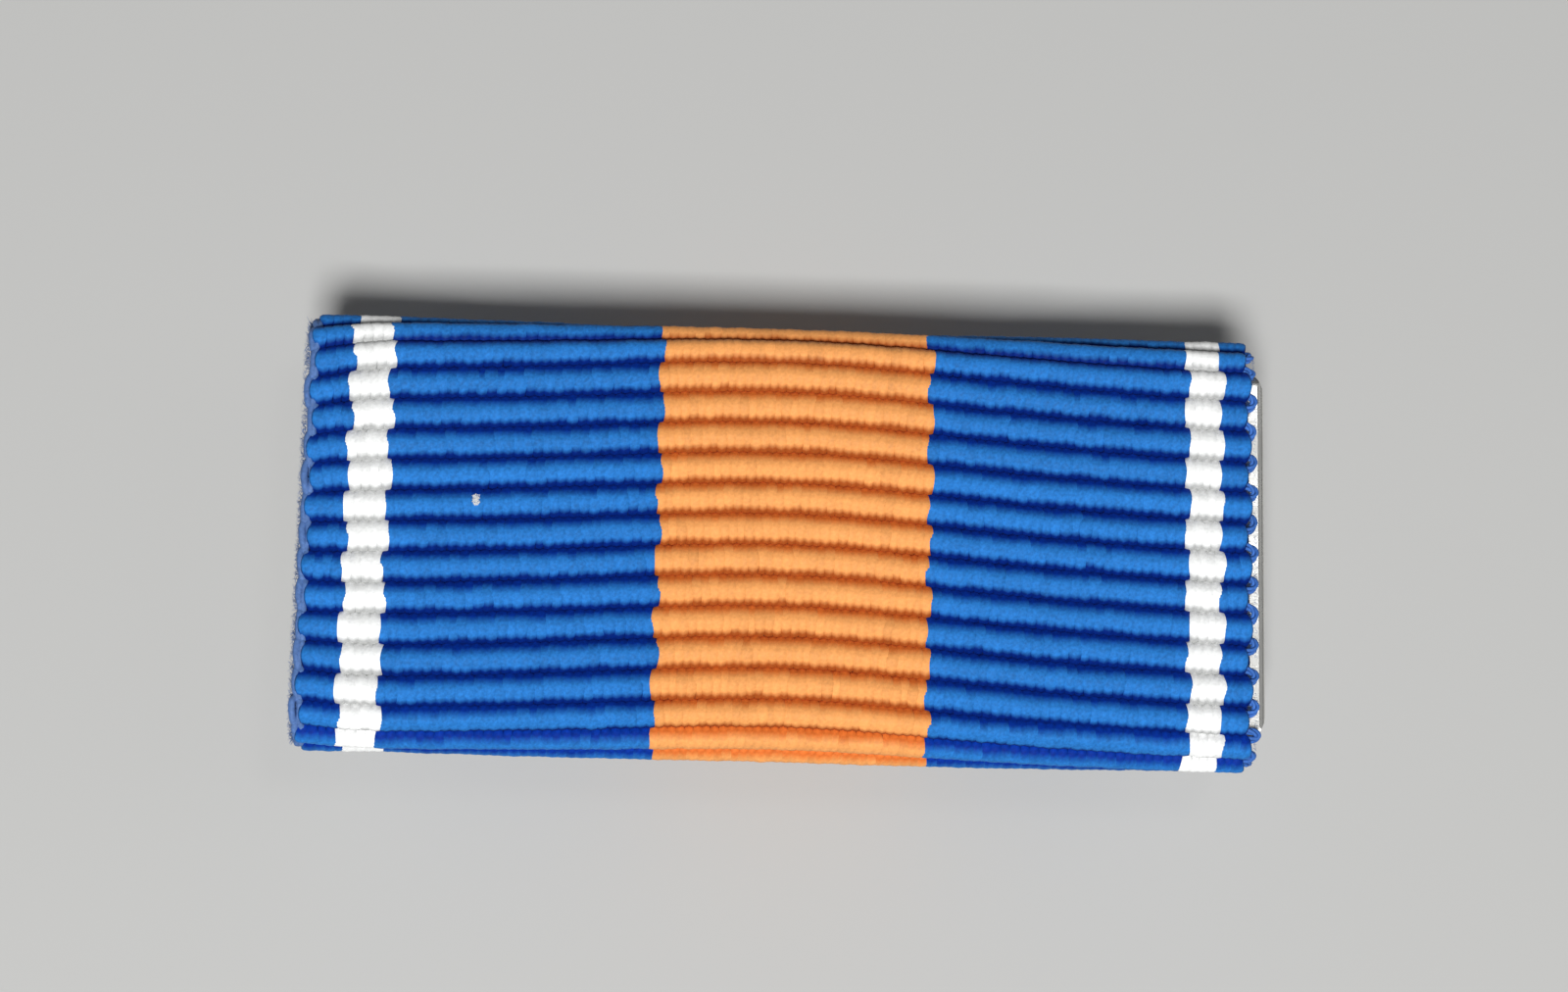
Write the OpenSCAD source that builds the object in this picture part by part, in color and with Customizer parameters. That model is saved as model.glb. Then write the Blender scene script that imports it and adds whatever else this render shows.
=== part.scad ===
// Ribbon bar: a striped corded ribbon wound round a metal base bar, with a brooch pin on the back.
// It lies face up. X runs along the bar, Y across it and Z out of its face.
// The origin lies on the surface under the bar, below the middle of its outline.

/* [Ribbon] */
// Width of the ribbon with its selvedge loops
ribbon_w = 27; // [18:0.1:45]
// Thickness of the ribbon over a rib
rib_t = 0.7; // [0.5:0.02:1]
// Thickness of the ribbon in a groove between two ribs
groove_t = 0.28; // [0.15:0.01:0.45]
// Distance from one rib to the next
rib_pitch = 0.875; // [0.6:0.001:1.3]
// How far the middle groove lies below the middle of the bar's face, at the ribbon's middle
rib_drop = 0.19; // [0:0.01:0.4]
// How far each rib falls from the ribbon's middle to its left selvedge
fall_left = 0.59; // [0:0.01:1]
// How far each rib falls from the ribbon's middle to its right selvedge
fall_right = 0.76; // [0:0.01:1]
// Distance from the ribbon's middle over which the ribs round off before they fall evenly
fall_round = 8.1; // [3:0.1:20]
// How much closer together the ribs lie at the left selvedge, as a share
draw_share = 0.065; // [0:0.005:0.1]
// Distance from the left selvedge over which the ribs draw together
draw_w = 3; // [1:0.1:6]
// How far out of its middle layer the ribbon keeps its length in the folds
taut_out = 0.26; // [0:0.01:0.35]
// How far the selvedge draws in beside each rib
selvedge_scallop = 0.2; // [0:0.01:0.3]
// Distance over which the ribbon thins out towards its selvedge
selvedge_taper = 0.45; // [0.35:0.01:0.6]

/* [Base bar] */
// Height of the metal bar across its face
bar_h = 11; // [10:0.1:20]
// Thickness of the metal bar
bar_t = 1.2; // [0.8:0.05:1.6]
// Radius of the metal bar's four corners seen from the front
bar_corner_r = 1; // [0.6:0.1:1.5]
// Radius of the rounding along the metal bar's two end faces
bar_end_r = 0.2; // [0.1:0.05:0.35]
// How far the metal bar stands out past the ribbon at the right
bar_proud = 0.32; // [0:0.01:1]
// How far the metal bar stops short of the ribbon's edge at the left
bar_hidden = 0.18; // [0:0.01:1]

/* [Pin back] */
// Distance from each end of the metal bar to the pin's foot plate
pin_inset = 3.5; // [2:0.1:5]
// Width of the foot plate and its two blocks
foot_w = 3.4; // [2.6:0.1:4]
// Thickness of the foot plate
foot_t = 0.5; // [0.3:0.05:0.8]
// Length of each block along the bar
block_l = 2.4; // [1.6:0.1:3]
// Radius of the blocks' lower edges
block_r = 0.6; // [0.3:0.05:0.8]
// Diameter of the pin's stem
stem_d = 0.9; // [0.6:0.05:1.1]
// Distance from the back of the bar to the stem's axis
stem_drop = 2.2; // [1.8:0.05:4]
// Length of the stem's point
point_l = 1.8; // [1:0.1:2.2]
// Distance from the stem's point to the outer face of the catch
point_inset = 0.4; // [0.2:0.05:1]
// Thickness of the catch under the stem
catch_wall = 0.4; // [0.3:0.05:0.8]
// Gap round the stem in the catch
catch_play = 0.12; // [0.08:0.01:0.25]
// Diameter of the two rivets that hold the foot plate
rivet_d = 1.1; // [0.8:0.05:1.4]
// Diameter of the rivets' flush heads
rivet_head_d = 2; // [1.6:0.05:2.6]
// Thickness of the rivets' heads
rivet_head_t = 0.35; // [0.2:0.05:0.5]
// Distance from each block to the rivet beside it
rivet_inset = 2; // [1.5:0.1:3]

/* [Fits] */
// Gap between pieces that lie against each other
fit_gap = 0.05; // [0.03:0.01:0.1]
// Gap between the foot plate and the ribbon's turned ends
flap_gap = 0.17; // [0.1:0.01:0.5]

/* [Hidden] */
$fn = 64;

// The stripes from left to right: colour and share of the ribbon's width
BLUE = "#1b5ec2";
WHITE = "#f4f4f0";
ORANGE = "#ee9149";
STRIPES = [
    [BLUE, 0.049],
    [WHITE, 0.042],
    [BLUE, 0.281],
    [ORANGE, 0.283],
    [BLUE, 0.271],
    [WHITE, 0.036],
    [BLUE, 0.038],
];
// Steps across a rib, from groove to groove, closer together where its side is steep
RIB_STEPS = [0, 0.08, 0.25, 0.5, 0.75, 0.92];
// The selvedge from its edge inwards: share of the taper and share of the full thickness
TAPER_STEPS = [
    [0, 0.45],
    [0.35, 0.85],
];
// Longest step along the ribbon's width
section_step = 4;

total_w = ribbon_w + bar_proud;
ribbon_x = -bar_proud / 2;
bar_w = ribbon_w + bar_proud - bar_hidden;
bar_x = (total_w - bar_w) / 2;
stem_z = catch_wall + catch_play + stem_d / 2;
bar_z = stem_z + stem_drop + bar_t / 2;
foot_top = bar_z - bar_t / 2 - fit_gap;
foot_l = bar_w - 2 * pin_inset;
rivet_x = foot_l / 2 - block_l - rivet_inset;

// The ribbon's middle line: the front, a half turn at each long edge and a turned end on the back
wrap_r = bar_t / 2 + fit_gap + rib_t / 2;
front_half = (bar_h - bar_t) / 2;
turn_l = PI * (wrap_r + taut_out);
// How far the middle line may run from the middle of the face before it meets the foot plate
room_l = 2 * front_half + turn_l - foot_w / 2 - flap_gap;
ribs_up = max(1, floor((room_l + rib_drop) / rib_pitch));
ribs_down = max(1, floor((room_l - rib_drop - max(fall_left, fall_right)) / rib_pitch));

// The cut points of the profile, as [length along the ribbon, phase in its rib]
cuts = concat(
    [for (rib = [-ribs_down : ribs_up - 1]) for (phase = RIB_STEPS)
        [(rib + phase) * rib_pitch, phase]],
    [[ribs_up * rib_pitch, 0]]
);

// Half the ribbon's thickness at a phase of its rib, from groove to groove
function rib_half(phase) =
    groove_t / 2 + (rib_t - groove_t) / 2 * sqrt(1 - pow(2 * phase - 1, 2));

// How much closer together the ribs lie at x, measured from the ribbon's middle, as a share
function drawn_at(x) = draw_share * pow(max(0, 1 - (x + ribbon_w / 2) / draw_w), 2);

// How far the ribs have fallen at x, measured from the ribbon's middle
function fall_at(x) =
    let (fall = x < 0 ? fall_left : fall_right, whole = 1 + pow(2 * fall_round / ribbon_w, 2))
    rib_drop + fall * whole * x * x / (x * x + fall_round * fall_round);

// Where a place of the ribbon lies along the middle line at x
function along(place, x) = place * (1 - drawn_at(x)) - fall_at(x);

// The point at length s of the middle line and at a distance out of it, as [y, z] from the bar's centre
function wrapped(s, out) =
    let (side = s < 0 ? -1 : 1, a = abs(s), turned = 180 * (a - front_half) / turn_l)
    a <= front_half ? [s, wrap_r + out] :
    a <= front_half + turn_l ?
        [side * (front_half + (wrap_r + out) * sin(turned)), (wrap_r + out) * cos(turned)] :
    [side * (2 * front_half + turn_l - a), -wrap_r - out];

// One section across the ribbon, where edge is how near the selvedge it is and side which one
function section(x, thin, edge, side) =
    [for (face = [1, -1]) for (n = [0 : len(cuts) - 1])
        let (
            cut = cuts[face > 0 ? n : len(cuts) - 1 - n],
            drawn = edge * side * selvedge_scallop * pow(sin(180 * cut[1]), 2),
            at = wrapped(along(cut[0], x), face * thin * rib_half(cut[1]))
        )
        [x - drawn, at[0], at[1]]];

// Left edge of stripe n, measured from the ribbon's middle
function stripe_x(n) = n == 0 ? -ribbon_w / 2 : stripe_x(n - 1) + STRIPES[n - 1][1] * ribbon_w;

// The sections of stripe n as [x, thickness share, edge share, side]
function stations(n) =
    let (
        first = n == 0,
        last = n == len(STRIPES) - 1,
        x0 = stripe_x(n) + (first ? selvedge_taper : 0),
        x1 = last ? ribbon_w / 2 - selvedge_taper : stripe_x(n + 1),
        steps = ceil((x1 - x0) / section_step)
    )
    concat(
        first ? [for (t = TAPER_STEPS)
            [-ribbon_w / 2 + t[0] * selvedge_taper, t[1], 1 - t[0], -1]] : [],
        [for (k = [0 : steps]) [x0 + (x1 - x0) * k / steps, 1, 0, 1]],
        last ? [for (k = [len(TAPER_STEPS) - 1 : -1 : 0]) let (t = TAPER_STEPS[k])
            [ribbon_w / 2 - t[0] * selvedge_taper, t[1], 1 - t[0], 1]] : []
    );

// The triangles between two points of one section and the same two of the next
function strip(a, b, ring) = [[a, b + ring, a + ring], [a, b, b + ring]];

// A closed end, as a band of triangles between the outer and the inner face
function end_cap(start, ring, flip) =
    [for (i = [0 : ring / 2 - 2])
        let (a = start + i, b = a + 1, c = start + ring - 2 - i, d = c + 1)
        each flip ? [[a, b, c], [a, c, d]] : [[a, c, b], [a, d, c]]];

module stripe(n) {
    sections = [for (s = stations(n)) section(s[0], s[1], s[2], s[3])];
    ring = len(sections[0]);
    ends = len(sections) - 1;
    walls = [for (k = [0 : ends - 1]) for (i = [0 : ring - 1])
        each strip(k * ring + i, k * ring + (i + 1) % ring, ring)];
    polyhedron(
        points = [for (s = sections) each s],
        faces = concat(walls, end_cap(0, ring, false), end_cap(ends * ring, ring, true)),
        convexity = 8
    );
}

module ribbon() {
    translate([ribbon_x, 0, bar_z])
    for (n = [0 : len(STRIPES) - 1]) color(STRIPES[n][0]) stripe(n);
}

// A strip outline with half-round ends
module round_ended(length, width) {
    square([length - width, width], center = true);
    for (side = [-1, 1]) translate([side * (length - width) / 2, 0]) circle(d = width);
}

// A rectangle with rounded corners
module round_cornered(length, width, r) {
    square([length - 2 * r, width], center = true);
    square([length, width - 2 * r], center = true);
    for (i = [-1, 1]) for (j = [-1, 1])
        translate([i * (length / 2 - r), j * (width / 2 - r)]) circle(r = r);
}

// One rivet along Z with its head on top, larger all round by a gap
module rivet(bottom, top, gap) {
    translate([0, 0, bottom]) cylinder(d = rivet_d + 2 * gap, h = top - bottom);
    translate([0, 0, top - rivet_head_t - gap])
        cylinder(d = rivet_head_d + 2 * gap, h = rivet_head_t + gap);
}

module base_bar() {
    color("#c9c6ba") translate([bar_x, 0, bar_z]) difference() {
        intersection() {
            rotate([90, 0, 90]) linear_extrude(height = bar_w, center = true)
                round_ended(bar_h, bar_t);
            linear_extrude(height = 2 * bar_t, center = true)
                round_cornered(bar_w, bar_h, bar_corner_r);
            rotate([90, 0, 0]) linear_extrude(height = 2 * bar_h, center = true)
                round_cornered(bar_w, bar_t, bar_end_r);
        }
        for (side = [-1, 1]) translate([side * rivet_x, 0, 0]) {
            rivet(-bar_t, bar_t / 2, fit_gap);
            translate([0, 0, bar_t / 2]) cylinder(d = rivet_head_d + 2 * fit_gap, h = bar_t);
        }
    }
}

// The section of an end block, from the surface below up to the foot plate
module block_section() {
    translate([-foot_w / 2, block_r]) square([foot_w, foot_top - foot_t / 2 - block_r]);
    translate([-foot_w / 2 + block_r, 0]) square([foot_w - 2 * block_r, 2 * block_r]);
    for (side = [-1, 1]) translate([side * (foot_w / 2 - block_r), block_r]) circle(r = block_r);
}

// The section of the catch: a block with a slot that lets the stem in from the lower side
module catch_section() {
    difference() {
        block_section();
        translate([0, stem_z]) circle(d = stem_d + 2 * catch_play);
        translate([-foot_w, stem_z - stem_d / 2 - catch_play])
            square([foot_w, stem_d + 2 * catch_play]);
    }
}

module pin_back() {
    block_x = foot_l / 2 - block_l;
    stem_end = -foot_l / 2 + point_inset;
    color("#bdbab0") translate([bar_x, 0, 0]) {
        translate([-foot_l / 2, -foot_w / 2, foot_top - foot_t]) cube([foot_l, foot_w, foot_t]);
        translate([block_x, 0, 0]) rotate([90, 0, 90]) linear_extrude(height = block_l)
            block_section();
        translate([-foot_l / 2, 0, 0]) rotate([90, 0, 90]) linear_extrude(height = block_l)
            catch_section();
        translate([stem_end + point_l, 0, stem_z]) rotate([0, 90, 0])
            cylinder(d = stem_d, h = block_x + block_l / 2 - stem_end - point_l);
        translate([stem_end, 0, stem_z]) rotate([0, 90, 0])
            cylinder(d1 = 0, d2 = stem_d, h = point_l);
        for (side = [-1, 1]) translate([side * rivet_x, 0, 0])
            rivet(foot_top - foot_t / 2, bar_z + bar_t / 2, 0);
    }
}

base_bar();
ribbon();
pin_back();
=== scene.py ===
"""Looks of a ribbon bar: a striped corded ribbon, yarn by yarn, wound round a plated metal bar.

Lengths are written in millimetres and multiplied by MM, because the scene is in metres.
X runs along the bar, Y across it and Z out of its face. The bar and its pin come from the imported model.
"""

import logging
import math
from dataclasses import dataclass, field
from enum import Enum
from typing import ClassVar

import bpy
import numpy as np
from mathutils import Matrix, Vector


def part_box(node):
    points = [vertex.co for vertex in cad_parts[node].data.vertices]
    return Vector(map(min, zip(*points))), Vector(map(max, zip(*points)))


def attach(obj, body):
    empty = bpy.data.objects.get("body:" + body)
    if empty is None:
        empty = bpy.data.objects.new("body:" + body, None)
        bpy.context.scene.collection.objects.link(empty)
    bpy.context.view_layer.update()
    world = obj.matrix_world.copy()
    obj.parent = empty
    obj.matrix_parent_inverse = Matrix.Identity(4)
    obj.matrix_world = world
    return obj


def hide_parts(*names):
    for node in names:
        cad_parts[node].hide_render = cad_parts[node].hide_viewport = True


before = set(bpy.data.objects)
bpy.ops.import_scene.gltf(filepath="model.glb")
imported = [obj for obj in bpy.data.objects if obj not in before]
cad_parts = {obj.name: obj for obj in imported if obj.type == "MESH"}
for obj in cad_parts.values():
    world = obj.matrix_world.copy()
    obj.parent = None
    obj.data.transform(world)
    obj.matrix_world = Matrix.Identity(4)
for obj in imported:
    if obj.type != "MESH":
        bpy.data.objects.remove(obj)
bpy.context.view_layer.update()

MM = 0.001
ROOT = "root"
YARN_UV = "yarn"
PLACE = "place"
TONE = "tone"
# Places on a rib go from -1 at its lower groove to 1 at its upper one; the yarn materials paint groove
# shade and light by place
LIT_PLACE = -0.3
# The place that takes a yarn's painted groove shade in full
PAINTED_SHADE_PLACE = -1.0
# Most of a noise lies in this range
NOISE_RANGE = (0.3, 0.7)
AIM_ABOVE_BAR = 0.1 * MM
LOG = logging.getLogger("ribbon_bar")

Colour = tuple[float, float, float]
Triple = tuple[float, float, float]
Numbers = np.ndarray | float


class Dye(Enum):
    """The colours of yarn in the ribbon, with their material slots in the record."""

    BLUE = "ribbon_blue"
    WHITE = "ribbon_white"
    ORANGE = "ribbon_orange"
    WEFT = "ribbon_weft"
    CATCH = "catch_thread"


class Plate(Enum):
    """The plated metals, with their material slots in the record."""

    BAR = "bar_metal"
    PIN = "pin_metal"


@dataclass(frozen=True)
class Weave:
    """The sizes of the woven ribbon, in metres."""

    rib_t: float = 0.7 * MM
    rib_pitch: float = 0.875 * MM
    rib_drop: float = 0.19 * MM
    fall_left: float = 0.59 * MM
    fall_right: float = 0.76 * MM
    fall_round: float = 8.1 * MM
    draw_share: float = 0.065
    draw_w: float = 3 * MM
    taut_out: float = 0.26 * MM
    flap_gap: float = 0.17 * MM
    crest_t: float = 0.13 * MM
    groove_yarn_t: float = 0.1 * MM
    cord_w: float = 0.6 * MM
    cord_t: float = 0.38 * MM
    left_margin: float = 0.31 * MM
    right_margin: float = 0.33 * MM


@dataclass(frozen=True)
class RibbonPath:
    """The ribbon's middle line: the front, a half turn at each long edge, a turned end on the back."""

    weave: Weave
    centre_x: float
    centre_z: float
    width: float
    wrap_r: float
    front_half: float
    turn_l: float
    ribs_down: int
    ribs_up: int

    @classmethod
    def from_frame(cls, weave: Weave) -> "RibbonPath":
        """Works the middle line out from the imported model's boxes.

        Args:
            weave: The sizes of the woven ribbon.

        Returns:
            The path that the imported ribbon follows.
        """
        bar_low, bar_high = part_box("base_bar")
        low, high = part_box("ribbon")
        pin_low, pin_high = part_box("pin_back")
        bar_t = bar_high.z - bar_low.z
        bar_h = bar_high.y - bar_low.y
        wrap_r = (high.z - low.z - weave.rib_t) / 2
        front_half = (bar_h - bar_t) / 2
        foot_half = (pin_high.y - pin_low.y) / 2
        turn_l = math.pi * (wrap_r + weave.taut_out)
        room_l = 2 * front_half + turn_l - foot_half - weave.flap_gap
        lowest = weave.rib_drop + max(weave.fall_left, weave.fall_right)
        return cls(
            weave=weave,
            centre_x=(low.x + high.x) / 2,
            centre_z=(bar_low.z + bar_high.z) / 2,
            width=high.x - low.x,
            wrap_r=wrap_r,
            front_half=front_half,
            turn_l=turn_l,
            ribs_down=math.floor((room_l - lowest) / weave.rib_pitch),
            ribs_up=math.floor((room_l + weave.rib_drop) / weave.rib_pitch),
        )

    @property
    def ribs(self) -> int:
        """The number of ribs from one cut end to the other."""
        return self.ribs_down + self.ribs_up

    @property
    def length(self) -> float:
        """The ribbon's length from one cut end to the other."""
        return self.ribs * self.weave.rib_pitch

    def along(self, k: Numbers, x: Numbers) -> np.ndarray:
        """Where a place of the ribbon lies along the middle line.

        Args:
            k: The place, in ribs from the lower cut end. Whole numbers are grooves.
            x: Distance from the ribbon's middle along the bar.

        Returns:
            The distance from the middle of the bar's face, positive towards the upper edge.
        """
        weave = self.weave
        near_left = np.clip(1 - (x + self.width / 2) / weave.draw_w, 0, None)
        closer = 1 - weave.draw_share * near_left**2
        whole = 1 + (2 * weave.fall_round / self.width) ** 2
        fall = np.where(x < 0, weave.fall_left, weave.fall_right) * whole
        fallen = weave.rib_drop + fall * x**2 / (x**2 + weave.fall_round**2)
        return (k - self.ribs_down) * weave.rib_pitch * closer - fallen

    def place(self, x: Numbers, s: Numbers, out: Numbers) -> np.ndarray:
        """Places points of the flat ribbon on the wound one.

        Args:
            x: Distance from the ribbon's middle along the bar.
            s: Distance along the middle line, positive towards the upper edge.
            out: Distance out of the middle line, away from the bar.

        Returns:
            The points in the row frame, with one more axis for their coordinates.
        """
        x, s, out = np.broadcast_arrays(x, s, out)
        side = np.where(s < 0, -1.0, 1.0)
        along = np.abs(s)
        turned = np.clip((along - self.front_half) / self.turn_l, 0, 1) * math.pi
        past = np.clip(along - self.front_half - self.turn_l, 0, None)
        radius = self.wrap_r + out
        y = np.minimum(along, self.front_half) + radius * np.sin(turned) - past
        z = radius * np.cos(turned)
        return np.stack([self.centre_x + x, side * y, self.centre_z + z], axis=-1)

    def outward(self, s: np.ndarray) -> np.ndarray:
        """The direction out of the ribbon's outer face at s, as unit vectors."""
        step = 0.001 * MM
        return unit(self.place(0.0, s, step) - self.place(0.0, s, -step))


def unit(vectors: np.ndarray) -> np.ndarray:
    """The vectors with a length of one."""
    return vectors / np.linalg.norm(vectors, axis=-1, keepdims=True)


def signed_power(values: np.ndarray, power: float) -> np.ndarray:
    """The values raised to a power with their signs kept."""
    return np.sign(values) * np.abs(values) ** power


def along_path(points: np.ndarray) -> np.ndarray:
    """The direction of each path at each of its points, as unit vectors."""
    return unit(np.gradient(points, axis=-2))


def carried_frames(points: np.ndarray, start: Triple) -> tuple[np.ndarray, np.ndarray]:
    """Carries a pair of cross directions along each path without turning them about it.

    Args:
        points: The paths' points, as paths by points by coordinates.
        start: A direction that isn't along the first stretch of any path.

    Returns:
        The two cross directions at each point, each as large as points.
    """
    tangents = along_path(points)
    normals = np.empty_like(points)
    normal = np.broadcast_to(np.array(start, float), points[:, 0].shape)
    for ring in range(points.shape[1]):
        tangent = tangents[:, ring]
        normal = unit(normal - tangent * np.sum(normal * tangent, axis=-1, keepdims=True))
        normals[:, ring] = normal
    return np.cross(normals, tangents), normals


@dataclass
class Tubes:
    """Many swept tubes that become one mesh, all with the same number of rings and sides."""

    sides: int
    power: float = 2.0
    painted_shade_tooth: float = 0.0
    verts: list[np.ndarray] = field(default_factory=list)
    loops: list[np.ndarray] = field(default_factory=list)
    totals: list[np.ndarray] = field(default_factory=list)
    uvs: list[np.ndarray] = field(default_factory=list)
    places: list[np.ndarray] = field(default_factory=list)
    tones: list[np.ndarray] = field(default_factory=list)
    count: int = 0

    def sweep(
        self,
        points: np.ndarray,
        lateral: np.ndarray,
        normal: np.ndarray,
        half_w: Numbers,
        half_t: Numbers,
        place: Numbers = LIT_PLACE,
        tone: Numbers = 0.0,
    ) -> None:
        """Adds a batch of closed tubes.

        Args:
            points: The middle lines, as tubes by rings by coordinates.
            lateral: The direction of each ring's width.
            normal: The direction of each ring's thickness, with lateral x normal against the path.
            half_w: Half the width of each ring.
            half_t: Half the thickness of each ring.
            place: Where each ring lies on its rib, from -1 at the lower groove to 1 at the upper one,
                which sets its painted groove shade.
            tone: How much lighter each ring is than its dye.
        """
        tubes, rings, _ = points.shape
        angle = -math.pi / 2 + 2 * math.pi * np.arange(self.sides) / self.sides
        across = signed_power(np.cos(angle), 2 / self.power)
        upward = signed_power(np.sin(angle), 2 / self.power)
        half_w = np.broadcast_to(half_w, (tubes, rings))
        half_t = np.broadcast_to(half_t, (tubes, rings))
        verts = (
            points[:, :, None]
            + lateral[:, :, None] * (half_w[..., None] * across)[..., None]
            + normal[:, :, None] * (half_t[..., None] * upward)[..., None]
        )
        index = self.count + np.arange(tubes * rings * self.sides).reshape(tubes, rings, self.sides)
        turned = np.roll(index, -1, axis=2)
        quads = np.stack([index[:, :-1], index[:, 1:], turned[:, 1:], turned[:, :-1]], axis=-1)
        caps = np.concatenate([index[:, 0], index[:, -1, ::-1]])

        steps = np.linalg.norm(np.diff(points, axis=1), axis=-1)
        length = np.concatenate([np.zeros((tubes, 1)), np.cumsum(steps, axis=1)], axis=1) / MM
        u = np.arange(self.sides + 1) / self.sides
        ring_uv = np.stack(np.broadcast_arrays(u, length[..., None]), axis=-1)
        quad_uv = np.stack(
            [ring_uv[:, :-1, :-1], ring_uv[:, 1:, :-1], ring_uv[:, 1:, 1:], ring_uv[:, :-1, 1:]],
            axis=-2,
        )
        cap_uv = np.concatenate([ring_uv[:, 0, :-1], ring_uv[:, -1, -2::-1]])

        self.verts.append(verts.reshape(-1, 3))
        self.loops += [quads.ravel(), caps.ravel()]
        self.totals += [np.full(quads.size // 4, 4), np.full(len(caps), self.sides)]
        self.uvs += [quad_uv.reshape(-1, 2), cap_uv.reshape(-1, 2)]
        # Towards its underside each ring's place drops by the tooth, which gives the painted groove shade
        # a toothed edge
        from_top = 1 - np.sin(angle)
        for kept, value, less in ((self.places, place, self.painted_shade_tooth), (self.tones, tone, 0.0)):
            kept.append((np.broadcast_to(value, (tubes, rings))[..., None] - less * from_top).ravel())
        self.count += tubes * rings * self.sides

    def piece(self, name: str) -> bpy.types.Object:
        """Makes the tubes into one smooth object.

        Args:
            name: The piece's name.

        Returns:
            The object, linked to the scene.
        """
        verts, loops, totals = (np.concatenate(a) for a in (self.verts, self.loops, self.totals))
        mesh = bpy.data.meshes.new(name)
        mesh.vertices.add(len(verts))
        mesh.vertices.foreach_set("co", verts.astype(np.float32).ravel())
        mesh.loops.add(len(loops))
        mesh.loops.foreach_set("vertex_index", loops.astype(np.int32))
        mesh.polygons.add(len(totals))
        starts = np.concatenate([[0], np.cumsum(totals)[:-1]])
        mesh.polygons.foreach_set("loop_start", starts.astype(np.int32))
        uv = mesh.uv_layers.new(name=YARN_UV)
        uv.data.foreach_set("uv", np.concatenate(self.uvs).astype(np.float32).ravel())
        for label, values in ((PLACE, self.places), (TONE, self.tones)):
            layer = mesh.attributes.new(label, "FLOAT", "POINT")
            layer.data.foreach_set("value", np.concatenate(values).astype(np.float32))
        mesh.update(calc_edges=True)
        mesh.shade_smooth()
        made = bpy.data.objects.new(name, mesh)
        bpy.context.scene.collection.objects.link(made)
        return made


class Nodes:
    """A material under construction, with short calls for its nodes and links."""

    def __init__(self, name: str) -> None:
        """Starts a material whose shader is the usual one.

        Args:
            name: The material's name.
        """
        self.material = bpy.data.materials.new(name)
        self.material.use_nodes = True
        self.tree = self.material.node_tree
        self.shader = next(n for n in self.tree.nodes if n.type == "BSDF_PRINCIPLED")

    def add(self, kind: str, **settings: object) -> bpy.types.Node:
        """Adds a node.

        Args:
            kind: The node's type, as the program names it.
            **settings: Values of its own properties.

        Returns:
            The node.
        """
        node = self.tree.nodes.new(kind)
        for name, value in settings.items():
            setattr(node, name, value)
        return node

    def put(self, target: bpy.types.NodeSocket, value: object) -> None:
        """Links a socket to the target, or sets the target's own value.

        Args:
            target: The socket that takes the value.
            value: A socket, or a plain value.
        """
        if isinstance(value, bpy.types.NodeSocket):
            self.tree.links.new(value, target)
        else:
            target.default_value = value

    def math(self, operation: str, *values: object) -> bpy.types.NodeSocket:
        """Works out a number.

        Args:
            operation: What is done, as the program names it.
            *values: What it is done with, as numbers or sockets.

        Returns:
            The result's socket.
        """
        node = self.add("ShaderNodeMath", operation=operation)
        for target, value in zip(node.inputs, values):
            self.put(target, value)
        return node.outputs[0]

    def attribute(self, name: str) -> bpy.types.NodeSocket:
        """The number that the mesh keeps under a name."""
        return self.add("ShaderNodeAttribute", attribute_name=name).outputs["Fac"]

    def noise(self, vector: object, scale: float, detail: float) -> bpy.types.NodeSocket:
        """Adds a noise of about 0.5 on average.

        Args:
            vector: Where it is read.
            scale: How many lumps it has in one unit.
            detail: How many finer noises are laid over it.

        Returns:
            The noise's value.
        """
        node = self.add("ShaderNodeTexNoise")
        self.put(node.inputs["Vector"], vector)
        node.inputs["Scale"].default_value = scale
        node.inputs["Detail"].default_value = detail
        return node.outputs["Fac"]

    def scaled(self, vector: object, factors: Triple) -> bpy.types.NodeSocket:
        """Stretches coordinates.

        Args:
            vector: The coordinates.
            factors: The factor along each axis.

        Returns:
            The stretched coordinates.
        """
        node = self.add("ShaderNodeMapping")
        self.put(node.inputs["Vector"], vector)
        node.inputs["Scale"].default_value = factors
        return node.outputs[0]

    def blend(self, share: object, first: object, second: object) -> bpy.types.NodeSocket:
        """Mixes two colours.

        Args:
            share: How much of the second there is.
            first: One colour.
            second: The other colour.

        Returns:
            The mixed colour.
        """
        node = self.add("ShaderNodeMix", data_type="RGBA")
        targets = (node.inputs[0], node.inputs[6], node.inputs[7])
        for target, value in zip(targets, (share, first, second)):
            ready = isinstance(value, (float, bpy.types.NodeSocket))
            self.put(target, value if ready else (*value, 1.0))
        return node.outputs[2]

    def spread(
        self, value: object, low: float, high: float, to_low: float, to_high: float
    ) -> bpy.types.NodeSocket:
        """Maps one range of a value onto another.

        Args:
            value: The value.
            low: Where its range starts.
            high: Where its range ends.
            to_low: What the start becomes.
            to_high: What the end becomes.

        Returns:
            The mapped value, kept inside the new range.
        """
        node = self.add("ShaderNodeMapRange")
        for target, number in zip(node.inputs, (value, low, high, to_low, to_high)):
            self.put(target, number)
        return node.outputs[0]

    def bump(self, height: object, distance: float, strength: float) -> bpy.types.NodeSocket:
        """Adds relief to the surface.

        Args:
            height: The relief's height.
            distance: What a height of one stands for, in metres.
            strength: How much of it shows.

        Returns:
            The normals.
        """
        node = self.add("ShaderNodeBump")
        self.put(node.inputs["Height"], height)
        node.inputs["Distance"].default_value = distance
        node.inputs["Strength"].default_value = strength
        return node.outputs[0]


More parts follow.
